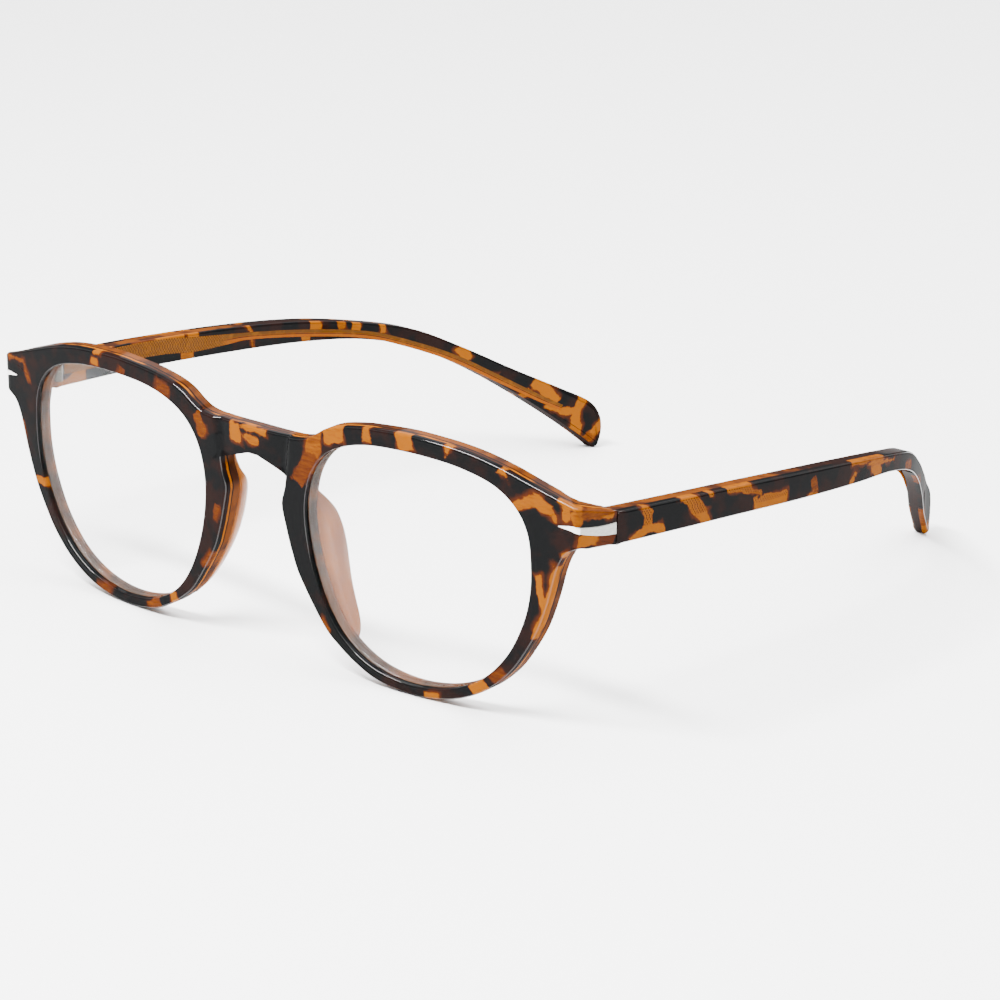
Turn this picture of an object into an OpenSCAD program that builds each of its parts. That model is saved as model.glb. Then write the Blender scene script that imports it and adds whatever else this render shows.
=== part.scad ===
// Folding reading glasses: a laminated acetate front with bonded nose pads, two lenses,
// and two temples that fold inwards on screwed metal hinges. All lengths are millimetres.
// The glasses stand open on the lower edges of the rims and on the temple tips.
// +X is towards the wearer's left, +Y from the front towards the ears, +Z up.

/* [Front] */
// Radius of the gentle wrap of the front, seen from above
face_radius = 402; // [360:2:460]
// Depth of the rims from front to back
rim_depth = 3.8; // [3.6:0.1:4.2]
// Lean of the front, its top edge forward
front_lean = 4.36; // [3.5:0.02:5]
// Depth of the groove that holds the lens edge
groove_depth = 0.9; // [0.5:0.1:1]
// Distance from the front face back to the lens
lens_setback = 1.2; // [1:0.1:1.4]
// Thickness of each lens
lens_thickness = 1.6; // [1.2:0.1:1.8]

/* [End pieces] */
// Distance from the middle of the front to the outer corner of each end piece
corner_x = 69; // [68.8:0.1:69.2]
// Thickness of the end piece's side wall
end_wall = 4; // [3.8:0.1:4.2]
// Thickness of the metal trim let into the corner
trim_thickness = 0.6; // [0.4:0.1:0.9]

/* [Hinges] */
// Distance of each hinge screw from the middle plane
axis_x = 65.6; // [65.5:0.05:65.65]
// Outer radius of the hinge barrels
barrel_radius = 1.1; // [1:0.05:1.15]
// Radius of the screw's shank
screw_radius = 0.45; // [0.35:0.05:0.55]
// Radial clearance of the shank in its barrels
running_gap = 0.05; // [0.03:0.01:0.08]
// Height of one barrel
barrel_height = 0.95; // [0.85:0.05:1]
// Thickness of the hinge leaves
leaf_thickness = 1.2; // [1:0.1:1.3]

/* [Temples] */
// Thickness of each temple at the hinge
temple_thickness = 4; // [3.8:0.1:4.1]
// Thickness of each temple at its tip
tip_thickness = 3.7; // [3.4:0.1:4]
// Thickness of the patterned plate inside each temple
plate_thickness = 0.8; // [0.6:0.1:1]

/* [Hidden] */

tortoise = [0.22, 0.12, 0.08];
amber = [0.86, 0.50, 0.22];
steel = [0.74, 0.74, 0.72];
bronze = [0.62, 0.45, 0.22];
clear = [0.85, 0.92, 0.95, 0.4];

fine = 96;
wrap_fine = 720;
curve_steps = 4;
bond_gap = 0.03;
seat_gap = 0.05;

// Bounds of the bars that outlines are made into: through the front, and through a side
through_front = [-10, 40];
through_side = [30, 80];
far = 200;

// Heights of the bridge's top and of the rims' lower edge, from the middle of the lenses
bridge_top = 14.8;
rim_drop = 27.5;
// Height of the middle of the lenses above the table
stand_height = 27.33;
// Distance of the temple tip's back edge behind the front's middle
reach = 151.6;
centre_y = (reach - bridge_top * sin(front_lean)) / 2;

// Where the temple meets the end piece, and the gap that is left there
joint_y = 15.1;
joint_gap = 0.1;

// Stack of the three hinge barrels, and the leaves that are let into the acetate
stack_bottom = 34.5;
barrel_gap = 0.08;
barrel_pitch = barrel_height + barrel_gap;
stack_height = 3 * barrel_pitch - barrel_gap;
leaf_reach = 4;
leaf_clear = 0.9;
leaf_start = barrel_radius + 0.5;
leaf_margin = 0.3;
arm_reach = leaf_clear + 1;
head_radius = 0.8;
head_height = 0.3;
slot_width = 0.25;
slot_depth = 0.15;
screw_tail = 0.2;
// Room round the barrels in the acetate of the end piece and of the temple
barrel_clear = 0.1;

// The core starts just behind the temple hinge's arm
core_start = joint_y + arm_reach + 0.15;

// Half of the front's outer edge, from under the bridge round to its top, in X and Z
front_edge = [
    [0, 9.6], [5, 9.5], [7.6, 8.3], [7.5, 5.5], [6.6, 2.2], [7.2, -1.2], [8.7, -6.6],
    [10.6, -11.2], [15.7, -18.9], [19.1, -22], [23.1, -24.6], [27.5, -26.5], [34, -rim_drop],
    [40, -27.1], [45.8, -25.6], [51.2, -22.7], [55.7, -18.6], [58.9, -14], [61.3, -9.5],
    [63.2, -4.2], [64.6, 0.8], [65.7, 3.6], [67, 5.2]
];
end_piece_edge = [[corner_x, 6.1], [corner_x, 13.5]];
brow_edge = [
    [65, 14.6], [60, 16.2], [55, 17.8], [50, 19.1], [45, 19.9], [40, 20.3], [35, 20.5],
    [30, 20.3], [25, 19.9], [20, 19], [17, 17.9], [14.5, 16.3], [12, 15.2], [8, bridge_top],
    [0, bridge_top]
];
// Edge of the left lens opening, in X and Z
lens_edge = [
    [59.8, 1.5], [59.2, 7.2], [56.9, 11.5], [52.6, 14.7], [46.2, 16.5], [39.5, 17.2],
    [32.5, 17.3], [26, 16.8], [20.5, 15.3], [16.3, 12.7], [13.4, 8.4], [12.1, 2.6],
    [12.5, -3.6], [14, -9.6], [16.5, -15.4], [20.2, -20.3], [25.4, -23.7], [31.5, -25.3],
    [38, -25.4], [44.6, -23.9], [50.2, -20.8], [54.9, -15.7], [58, -9.6], [59.5, -4]
];

// Upper and lower edge of the left temple and the rounded paddle, in Y and Z
temple_upper = [
    [joint_y, 38.8], [40, 37.6], [65, 35.9], [85, 34], [100, 31.7], [112, 29],
    [122.7, 24.1], [133, 18.6], [142.5, 13.8]
];
paddle_end = [[148.6, 10.6], [151, 7.6], [reach, 4.2], [151, 1], [150.1, 0], [149, 1]];
temple_lower = [
    [142.5, 6.5], [133, 13.7], [122.7, 20.3], [112, 25.2], [100, 28.2], [85, 29.7],
    [65, 30.9], [40, 32.2], [joint_y, 33]
];
// Outer face of the left temple seen from above, in Y and X
temple_sweep = [
    [4, 68.6], [joint_y, 69.7], [28, 70.6], [40, 71.2], [65, 71.5], [85, 70.4], [100, 67.6],
    [112, 63.9], [122.7, 59], [133, 53.6], [142.5, 48.2], [151, 44.1], [158, 40.8]
];
// Middle line of the core, in Y and Z, with its width: a plate that tapers to a wire
core_line = [
    [core_start, 36.8, 3], [43.5, 35.6, 3.1], [54, 34.4, 3], [63, 33.8, 2.2], [70, 33.4, 1.3],
    [85, 31.6, 1.2], [100, 29.3, 1.2], [109, 26.7, 1.2], [120, 22.3, 1.2], [130, 16.7, 1.2],
    [138, 12, 1.2], [142.4, 9.7, 1.2]
];

// A point of the smooth curve that runs from b to c, with a and d as its neighbours
function curve_point(a, b, c, d, t) =
    b + (c - a) * t / 2
    + (2 * a - 5 * b + 4 * c - d) * t * t / 2
    + (3 * b - a - 3 * c + d) * t * t * t / 2;

// A smooth closed ring through the points
function smooth_ring(p) = [
    for (i = [0 : len(p) - 1], k = [0 : curve_steps - 1])
        curve_point(p[(i + len(p) - 1) % len(p)], p[i], p[(i + 1) % len(p)],
            p[(i + 2) % len(p)], k / curve_steps)
];

// A smooth open line through the points
function smooth_line(p) = concat([
    for (i = [0 : len(p) - 2], k = [0 : curve_steps - 1])
        curve_point(p[max(i - 1, 0)], p[i], p[i + 1], p[min(i + 2, len(p) - 1)],
            k / curve_steps)
], [p[len(p) - 1]]);

// A counter-clockwise ring moved outwards by a distance
function grown_ring(p, distance) = [
    for (i = [0 : len(p) - 1])
        let (
            along = p[(i + 1) % len(p)] - p[(i + len(p) - 1) % len(p)],
            outward = [along[1], -along[0]] / norm(along)
        )
        p[i] + outward * distance
];

function reversed(p) = [for (i = [len(p) - 1 : -1 : 0]) p[i]];
function mirrored(p) = [for (q = reversed(p)) [-q[0], q[1]]];

// Thickness of the temple measured across, at a distance y from the front
function temple_depth(y) =
    temple_thickness + (tip_thickness - temple_thickness) * max(y - joint_y, 0) / reach;

// ---- Frames of reference ----

// Puts the middle of the front's upright plane where it stands
module on_front() {
    translate([0, -centre_y, stand_height]) rotate([front_lean, 0, 0]) children();
}

// Puts shapes that are laid out from the front's middle and the table in place
module on_table() {
    translate([0, -centre_y, 0]) children();
}

// An outline in X and Z made into a bar along Y, between two bounds
module along_y(bounds) {
    translate([0, bounds[1], 0]) rotate([90, 0, 0])
        linear_extrude(bounds[1] - bounds[0]) children();
}

// An outline in Y and Z made into a bar along X, between two bounds
module along_x(bounds) {
    translate([bounds[0], 0, 0]) rotate([90, 0, 90])
        linear_extrude(bounds[1] - bounds[0]) children();
}

// The space between two depths behind the wrapped front face
module wrapped_layer(front, back) {
    translate([0, face_radius, -far / 2]) difference() {
        cylinder(h = far, r = face_radius - front, $fn = wrap_fine);
        translate([0, 0, -1]) cylinder(h = far + 2, r = face_radius - back, $fn = wrap_fine);
    }
}

// ---- Lenses ----

module lens_shape(grow) {
    polygon(grown_ring(smooth_ring(lens_edge), grow));
}

module lens_solid(grow, gap) {
    intersection() {
        along_y(through_front) lens_shape(grow);
        wrapped_layer(lens_setback - gap, lens_setback + lens_thickness + gap);
    }
}

module lens_left() {
    color(clear) on_front() lens_solid(groove_depth - seat_gap, 0);
}

module lens_right() {
    color(clear) mirror([1, 0, 0]) on_front() lens_solid(groove_depth - seat_gap, 0);
}

// ---- Front frame ----

module front_shape() {
    half = concat(smooth_line(front_edge), end_piece_edge, smooth_line(brow_edge));
    difference() {
        polygon(concat(half, mirrored(half)));
        polygon(smooth_ring(lens_edge));
        mirror([1, 0]) polygon(smooth_ring(lens_edge));
    }
}

// The face of the left end piece, without its side wall
module end_face() {
    intersection() {
        along_y(through_front) polygon([
            [52, 0], [67, 5.2], [corner_x, 6.1], [corner_x, 13.5], [65, 14.6], [52, 19]
        ]);
        wrapped_layer(0, rim_depth);
    }
}

// The side wall that runs from the left corner back to the joint
module end_side() {
    wall_front = 6;
    wall_back = joint_y - joint_gap;
    outer_x = temple_sweep[1][1];
    inner_x = corner_x - end_wall;
    intersection() {
        linear_extrude(far) polygon([
            [corner_x, wall_front], [outer_x, wall_back], [outer_x - end_wall, wall_back],
            [inner_x + 0.4, 10], [inner_x - 1.4, 8.6], [inner_x - 1.4, 7.6]
        ]);
        along_x(through_side) polygon([
            [wall_front - 2, 33.6], [wall_back, 33], [wall_back, 39], [wall_front, 41]
        ]);
    }
}

module end_piece_solid() {
    on_front() end_face();
    on_table() end_side();
}

module front_frame() {
    color(tortoise) difference() {
        union() {
            on_front() intersection() {
                along_y(through_front) front_shape();
                wrapped_layer(0, rim_depth);
            }
            for (side = [0, 1]) mirror([side, 0, 0]) on_table() end_side();
        }
        for (side = [0, 1]) mirror([side, 0, 0]) {
            on_front() lens_solid(groove_depth, seat_gap);
            trim_solid(bond_gap);
            on_table() front_leaf(bond_gap);
            on_table() barrel_room();
        }
    }
}

// ---- Trim ----

// The wedge that the trim keeps, laid out along the diagonal across the corner
module trim_wedge(gap) {
    lower = [[69.9, 37.45], [72.5, 37.1], [75, 36.7], [78, 35.8], [81.3, 35.2], [85, 34.8]];
    upper = [[85, 37.1], [81.3, 37.1], [78, 37.4], [75, 37.9], [72.5, 38], [69.9, 37.65]];
    ring = [for (q = concat(lower, upper)) [q[0] / sqrt(2), q[1]]];
    rotate([0, 0, 45]) along_y([-far, 0]) polygon(grown_ring(ring, gap));
}

module trim_solid(gap) {
    skin = trim_thickness + gap;
    difference() {
        intersection() {
            union() {
                end_piece_solid();
                translate([gap, -gap, 0]) end_piece_solid();
            }
            on_table() trim_wedge(gap);
        }
        translate([-skin, skin, 0]) end_piece_solid();
    }
}

module end_trim_left() {
    color(steel) trim_solid(0);
}

module end_trim_right() {
    color(steel) mirror([1, 0, 0]) trim_solid(0);
}

// ---- Nose pads ----

// Centre of each section of the left pad in X, Y and Z, with its half width and half depth
pad_sections = [
    [8.6, 4.6, 7.4, 0.9, 0.9], [9.8, 5.2, 3, 1.9, 2.6], [11.2, 5.6, -3, 2.6, 3.4],
    [12.4, 5.6, -8.5, 2.6, 3.3], [14.6, 5.2, -14.5, 2.1, 2.4], [18, 4.8, -19.4, 1, 1]
];

module pad_bead(s) {
    translate([s[0], s[1], s[2]]) scale([s[3], s[4], 1]) sphere(r = 1, $fn = 24);
}

module pad_solid() {
    intersection() {
        for (i = [0 : len(pad_sections) - 2]) hull() {
            pad_bead(pad_sections[i]);
            pad_bead(pad_sections[i + 1]);
        }
        wrapped_layer(rim_depth + bond_gap, rim_depth + far / 10);
    }
}

module nose_pad_left() {
    color(amber) on_front() pad_solid();
}

module nose_pad_right() {
    color(amber) mirror([1, 0, 0]) on_front() pad_solid();
}

// ---- Hinges ----

module barrel(level) {
    translate([axis_x, joint_y, stack_bottom + level * barrel_pitch])
        cylinder(h = barrel_height, r = barrel_radius, $fn = fine);
}

module screw_bore() {
    translate([axis_x, joint_y, stack_bottom - 1])
        cylinder(h = 3 * barrel_pitch + 2, r = screw_radius + running_gap, $fn = fine);
}

// The room that the stack of barrels and its screw take out of the acetate
module barrel_room() {
    translate([axis_x, joint_y, stack_bottom - screw_tail - barrel_clear])
        cylinder(h = stack_height + screw_tail + head_height + 2 * barrel_clear,
            r = barrel_radius + barrel_clear, $fn = fine);
}

// The arm that joins a barrel to its leaf, on the side that dir points to in Y
module knuckle_arm(level, dir, gap) {
    low_y = dir > 0 ? 0 : -arm_reach - gap;
    translate([axis_x, joint_y + low_y, stack_bottom + level * barrel_pitch - gap])
        cube([leaf_start + leaf_thickness + gap, arm_reach + gap, barrel_height + 2 * gap]);
}

// The leaf itself, which is buried in the acetate
module leaf_plate(dir, gap) {
    height = stack_height - 2 * leaf_margin;
    low_y = dir > 0 ? leaf_clear : -leaf_clear - leaf_reach;
    translate([axis_x + leaf_start - gap, joint_y + low_y - gap, stack_bottom + leaf_margin - gap])
        cube([leaf_thickness + 2 * gap, leaf_reach + 2 * gap, height + 2 * gap]);
}

module front_leaf(gap) {
    leaf_plate(-1, gap);
    for (level = [0, 2]) knuckle_arm(level, -1, gap);
}

module temple_leaf(gap) {
    leaf_plate(1, gap);
    knuckle_arm(1, 1, gap);
}

module front_hinge() {
    on_table() difference() {
        union() {
            front_leaf(0);
            for (level = [0, 2]) barrel(level);
        }
        screw_bore();
    }
}

module temple_hinge() {
    on_table() difference() {
        union() {
            temple_leaf(0);
            barrel(1);
        }
        screw_bore();
    }
}

module hinge_screw() {
    on_table() translate([axis_x, joint_y, stack_bottom]) difference() {
        union() {
            translate([0, 0, -screw_tail])
                cylinder(h = stack_height + screw_tail, r = screw_radius, $fn = fine);
            translate([0, 0, stack_height])
                cylinder(h = head_height, r = head_radius, $fn = fine);
        }
        translate([-head_radius, -slot_width / 2, stack_height + head_height - slot_depth])
            cube([2 * head_radius, slot_width, 1]);
    }
}

module front_hinge_left() { color(steel) front_hinge(); }
module front_hinge_right() { color(steel) mirror([1, 0, 0]) front_hinge(); }
module temple_hinge_left() { color(steel) temple_hinge(); }
module temple_hinge_right() { color(steel) mirror([1, 0, 0]) temple_hinge(); }
module hinge_screw_left() { color(steel) hinge_screw(); }
module hinge_screw_right() { color(steel) mirror([1, 0, 0]) hinge_screw(); }

// ---- Temples ----

// A band in plan that runs along the temple between two depths below its outer face,
// each given as a share of the temple's thickness and a distance added to it
module sweep_band(outer_share, outer_add, inner_share, inner_add) {
    line = smooth_line(temple_sweep);
    outer = [for (q = line) [q[1] - outer_share * temple_depth(q[0]) - outer_add, q[0]]];
    inner = [for (q = line) [q[1] - inner_share * temple_depth(q[0]) - inner_add, q[0]]];
    linear_extrude(far / 2) polygon(concat(outer, reversed(inner)));
}

module temple_side() {
    intersection() {
        polygon(smooth_line(concat(temple_upper, paddle_end, temple_lower)));
        translate([joint_y + joint_gap / 2, -1]) square([far, far]);
    }
}

// The core's outline seen from the side
module core_side(gap) {
    line = smooth_line(core_line);
    upper = [for (q = line) [q[0], q[1] + q[2] / 2 + gap]];
    lower = [for (q = line) [q[0], q[1] - q[2] / 2 - gap]];
    polygon(concat(upper, reversed(lower)));
}

// The core lies in the inner face of the temple, flush with it
module core_solid() {
    intersection() {
        along_x(through_side) core_side(0);
        sweep_band(1, -plate_thickness, 1, 0);
    }
}

module core_channel() {
    intersection() {
        along_x(through_side) core_side(bond_gap);
        sweep_band(1, -plate_thickness - bond_gap, 1, 1);
    }
}

module temple() {
    on_table() difference() {
        intersection() {
            along_x(through_side) temple_side();
            sweep_band(0, 0, 1, 0);
        }
        core_channel();
        temple_leaf(bond_gap);
        barrel_room();
    }
}

module temple_left() { color(tortoise) temple(); }
module temple_right() { color(tortoise) mirror([1, 0, 0]) temple(); }
module core_wire_left() { color(bronze) on_table() core_solid(); }
module core_wire_right() { color(bronze) mirror([1, 0, 0]) on_table() core_solid(); }

front_frame();
lens_left();
lens_right();
nose_pad_left();
nose_pad_right();
end_trim_left();
end_trim_right();
front_hinge_left();
front_hinge_right();
hinge_screw_left();
hinge_screw_right();
temple_hinge_left();
temple_hinge_right();
temple_left();
temple_right();
core_wire_left();
core_wire_right();
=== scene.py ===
import math
import bpy
import numpy as np
from mathutils import Matrix, Vector


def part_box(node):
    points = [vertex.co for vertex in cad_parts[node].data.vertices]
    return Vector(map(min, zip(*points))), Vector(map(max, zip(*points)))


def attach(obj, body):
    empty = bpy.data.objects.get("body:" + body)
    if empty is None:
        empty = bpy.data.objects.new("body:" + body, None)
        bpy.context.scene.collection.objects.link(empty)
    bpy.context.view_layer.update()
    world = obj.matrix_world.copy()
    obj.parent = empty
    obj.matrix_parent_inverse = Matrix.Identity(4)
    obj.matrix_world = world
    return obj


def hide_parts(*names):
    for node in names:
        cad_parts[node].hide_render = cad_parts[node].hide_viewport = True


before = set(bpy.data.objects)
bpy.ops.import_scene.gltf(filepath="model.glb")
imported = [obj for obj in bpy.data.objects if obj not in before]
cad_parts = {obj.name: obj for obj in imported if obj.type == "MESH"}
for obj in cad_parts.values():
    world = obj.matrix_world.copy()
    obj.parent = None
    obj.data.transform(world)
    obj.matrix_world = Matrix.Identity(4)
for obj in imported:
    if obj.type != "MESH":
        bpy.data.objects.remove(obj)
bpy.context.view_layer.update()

MM = 0.001

# --------------------
# Where the frame stands. Shapes are drawn in millimetres: the front in its own
# upright plane (x across, z up from the middle of the lenses, y backwards), the
# temples in y from the front's middle and z from the table.

LEAN = math.radians(4.36)
FACE_RADIUS = 402.0
BRIDGE_TOP = 14.8
BRIDGE_UNDER = 9.6
STAND_HEIGHT = 27.33
JOINT_Y = 15.0

front_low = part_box("front_frame")[0]
ORIGIN_Y = front_low[1] / MM + BRIDGE_TOP * math.sin(LEAN)
SIDE_NAMES = {1: "left", -1: "right"}


def front_to_row(p):
    """Points in the front's own plane, in mm, to metres in the row frame."""
    p = np.asarray(p, float)
    y = p[:, 1] * math.cos(LEAN) - p[:, 2] * math.sin(LEAN) + ORIGIN_Y
    z = p[:, 1] * math.sin(LEAN) + p[:, 2] * math.cos(LEAN) + STAND_HEIGHT
    return np.stack([p[:, 0], y, z], 1) * MM


def table_to_row(p):
    """Points in mm from the front's middle and the table, to metres in the row frame."""
    p = np.asarray(p, float)
    return (p + np.array([0, ORIGIN_Y, 0])) * MM


# --------------------
# Outlines

# Half of the front's outer edge, from under the bridge round the rim to the end piece
RIM_EDGE = [
    (0, BRIDGE_UNDER), (5, 9.5), (7.6, 8.3), (7.5, 5.5), (6.6, 2.2), (7.2, -1.2), (8.7, -6.6),
    (10.6, -11.2), (15.7, -18.9), (19.1, -22), (23.1, -24.6), (27.5, -26.5), (34, -27.5),
    (40, -27.1), (45.8, -25.6), (51.2, -22.7), (55.7, -18.6), (58.9, -14), (61.3, -9.5),
    (63.2, -4.2), (64.6, 0.8), (65.7, 3.6), (67, 5.2), (69, 6.05),
]
# The rest of it, from the end piece over the brow to the bridge
BROW_EDGE = [
    (69, 13.45), (65, 14.6), (60, 16.2), (55, 17.8), (50, 19.1), (45, 19.9), (40, 20.3),
    (35, 20.5), (30, 20.3), (25, 19.9), (20, 19), (17, 17.9), (14.5, 16.3), (12, 15.2),
    (8, BRIDGE_TOP), (0, BRIDGE_TOP),
]
# The left lens opening
LENS_EDGE = [
    (59.8, 1.5), (59.2, 7.2), (56.9, 11.5), (52.6, 14.7), (46.2, 16.5), (39.5, 17.2),
    (32.5, 17.3), (26, 16.8), (20.5, 15.3), (16.3, 12.7), (13.4, 8.4), (12.1, 2.6),
    (12.5, -3.6), (14, -9.6), (16.5, -15.4), (20.2, -20.3), (25.4, -23.7), (31.5, -25.3),
    (38, -25.4), (44.6, -23.9), (50.2, -20.8), (54.9, -15.7), (58, -9.6), (59.5, -4),
]
# The left temple from its side, in y and z: the upper edge, the tip and the lower edge
TEMPLE_UPPER = [
    (15.1, 38.8), (40, 37.6), (65, 35.9), (85, 34), (100, 31.7), (112, 29), (122.7, 24.1),
    (133, 18.6), (142.5, 13.8),
]
PADDLE_END = [(148.6, 10.6), (151, 7.6), (151.6, 4.2), (151, 1), (150.1, 0), (149, 1)]
TEMPLE_LOWER = [
    (142.5, 6.5), (133, 13.7), (122.7, 20.3), (112, 25.2), (100, 28.2), (85, 29.7),
    (65, 30.9), (40, 32.2), (15.1, 33),
]
# Outer face of the left temple seen from above, in y and x
TEMPLE_SWEEP = [
    (4, 68.6), (15.1, 69.7), (28, 70.6), (40, 71.2), (65, 71.5), (85, 70.4), (100, 67.6),
    (112, 63.9), (122.7, 59), (133, 53.6), (142.5, 48.2), (151, 44.1), (158, 40.8),
]


def spline(points, closed, steps=12):
    """A smooth curve through the points, as many straight steps."""
    p = np.array(points, float)
    n = len(p)
    spans = range(n if closed else n - 1)
    out = []
    for i in spans:
        if closed:
            a, b, c, d = p[(i - 1) % n], p[i], p[(i + 1) % n], p[(i + 2) % n]
        else:
            a, b, c, d = p[max(i - 1, 0)], p[i], p[i + 1], p[min(i + 2, n - 1)]
        for k in range(steps):
            t = k / steps
            out.append(b + (c - a) * t / 2 + (2 * a - 5 * b + 4 * c - d) * t * t / 2
                       + (3 * b - a - 3 * c + d) * t ** 3 / 2)
    if not closed:
        out.append(p[-1])
    return np.array(out)


def lengths(p):
    """How far along the line each of its points lies."""
    return np.concatenate([[0], np.cumsum(np.linalg.norm(np.diff(p, axis=0), axis=1))])


def at_length(p, s, total=None):
    """Points of the line p at the arc lengths s."""
    at = lengths(p) if total is None else total
    return np.stack([np.interp(s, at, p[:, k]) for k in range(p.shape[1])], 1)


def nearest(p, q):
    """The number of the point in p that lies nearest to q."""
    return int(np.argmin(((p - np.array(q)) ** 2).sum(1)))


MITRE_LIMIT = -0.2


def side_normals(p, closed):
    """Mitred normals on the left of the line's direction, cut short at sharp corners."""
    if closed:
        before, after = p - np.roll(p, 1, 0), np.roll(p, -1, 0) - p
    else:
        steps = np.diff(p, axis=0)
        before = np.vstack([steps[:1], steps])
        after = np.vstack([steps, steps[-1:]])
    before /= np.linalg.norm(before, axis=1)[:, None]
    after /= np.linalg.norm(after, axis=1)[:, None]
    n1 = np.stack([-before[:, 1], before[:, 0]], 1)
    n2 = np.stack([-after[:, 1], after[:, 0]], 1)
    dot = (n1 * n2).sum(1)
    return (n1 + n2) / (1 + np.maximum(dot, MITRE_LIMIT))[:, None]


# The polished edges: a small facet between two rounds, as shares of the edge's radius,
# first away from the side wall and then away from the face
EDGE_PROFILE = [
    (0, 1), (0.02, 0.8), (0.09, 0.6), (0.2, 0.42), (0.3, 0.3), (0.42, 0.2),
    (0.6, 0.09), (0.8, 0.02), (1, 0),
]


# --------------------
# Meshes

def area_normals(mesh):
    """A normal for each point that leans to its larger faces, so flat faces stay flat."""
    count, corners = len(mesh.polygons), len(mesh.loops)
    normals, areas = np.empty(count * 3), np.empty(count)
    sizes, at = np.empty(count, int), np.empty(corners, int)
    mesh.polygons.foreach_get("normal", normals)
    mesh.polygons.foreach_get("area", areas)
    mesh.polygons.foreach_get("loop_total", sizes)
    mesh.loops.foreach_get("vertex_index", at)
    weighted = np.repeat(normals.reshape(-1, 3) * areas[:, None], sizes, axis=0)
    total = np.zeros((len(mesh.vertices), 3))
    np.add.at(total, at, weighted)
    return total / np.maximum(np.linalg.norm(total, axis=1), 1e-20)[:, None]


def make_piece(name, points, faces, body, values=None):
    """A smooth mesh from points in metres, with named numbers at its points."""
    mesh = bpy.data.meshes.new(name)
    mesh.from_pydata([tuple(p) for p in points], [], faces)
    mesh.validate()
    for key, numbers in (values or {}).items():
        layer = mesh.attributes.new(key, "FLOAT", "POINT")
        layer.data.foreach_set("value", np.asarray(numbers, np.float32))
    mesh.polygons.foreach_set("use_smooth", [True] * len(mesh.polygons))
    mesh.update()
    mesh.normals_split_custom_set_from_vertices(area_normals(mesh))
    obj = bpy.data.objects.new(name, mesh)
    bpy.context.scene.collection.objects.link(obj)
    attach(obj, body)
    return obj


def kept_faces(faces):
    """The faces without repeated corners, and without those that have shrunk away."""
    rings = [[int(v) for k, v in enumerate(face) if v != face[k - 1]] for face in faces]
    return [tuple(ring) for ring in rings if len(ring) > 2]


def grid_faces(grid, flip=False):
    """Faces of a grid of point numbers, where -1 means that there is no point."""
    a, b = grid[:-1, :-1].ravel(), grid[1:, :-1].ravel()
    c, d = grid[1:, 1:].ravel(), grid[:-1, 1:].ravel()
    keep = (a >= 0) & (b >= 0) & (c >= 0) & (d >= 0)
    corners = (a, d, c, b) if flip else (a, b, c, d)
    return kept_faces(zip(*(corner[keep] for corner in corners)))


def ring_faces(grid, flip=False):
    """Faces of a grid whose rows are closed rings."""
    return grid_faces(np.hstack([grid, grid[:, :1]]), flip)


def add_row(points, pairs, depth):
    """Adds a point (a, b, depth) for each pair to the list, and gives their numbers."""
    start = len(points)
    depths = np.broadcast_to(depth, len(pairs))
    points.extend((a, b, d) for (a, b), d in zip(pairs, depths))
    return np.arange(start, len(points))


def edge_rows(points, line, normals, radius, profile, thick=None):
    """Rows of points over a rounded edge, of the back face if a thickness is given."""
    rows = []
    for aside, below in profile:
        inset = radius * aside
        sink = radius * below
        depth = sink if thick is None else thick - sink
        rows.append(add_row(points, line + normals * inset[:, None], depth))
    return rows


def drop_unused(points, faces):
    """Keeps only the points that a face uses."""
    used = np.unique(np.concatenate([np.array(f) for f in faces]))
    renumber = -np.ones(len(points), int)
    renumber[used] = np.arange(len(used))
    return points[used], [tuple(int(renumber[v]) for v in f) for f in faces]


def welded(points, faces):
    """The points to keep, and the faces, once points that share a place are joined."""
    first, back = np.unique(np.round(points, 5), axis=0, return_index=True,
                            return_inverse=True)[1:]
    back = back.ravel()
    return first, kept_faces([[back[v] for v in face] for face in faces])


def caps(first, last, flip):
    """The faces that close the two ends of a tube."""
    ends = (first[::-1], last) if flip else (first, last[::-1])
    return [tuple(int(v) for v in end) for end in ends]


def tube(rows, flip):
    """Points and faces of a closed tube, from rows of points that run along it."""
    points = np.vstack(rows)
    ids = np.arange(len(points)).reshape(len(rows), -1)
    faces = grid_faces(np.vstack([ids, ids[:1]]), flip)
    return points, faces + caps(ids[:, 0], ids[:, -1], flip)


# --------------------
# Tortoiseshell pattern: each patch is a bar (x1, z1, x2, z2, half width, tone), where
# the tone runs from 0, a dull red-brown, to 1, bright amber. A seventh number is the
# half width at the far end.

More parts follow.
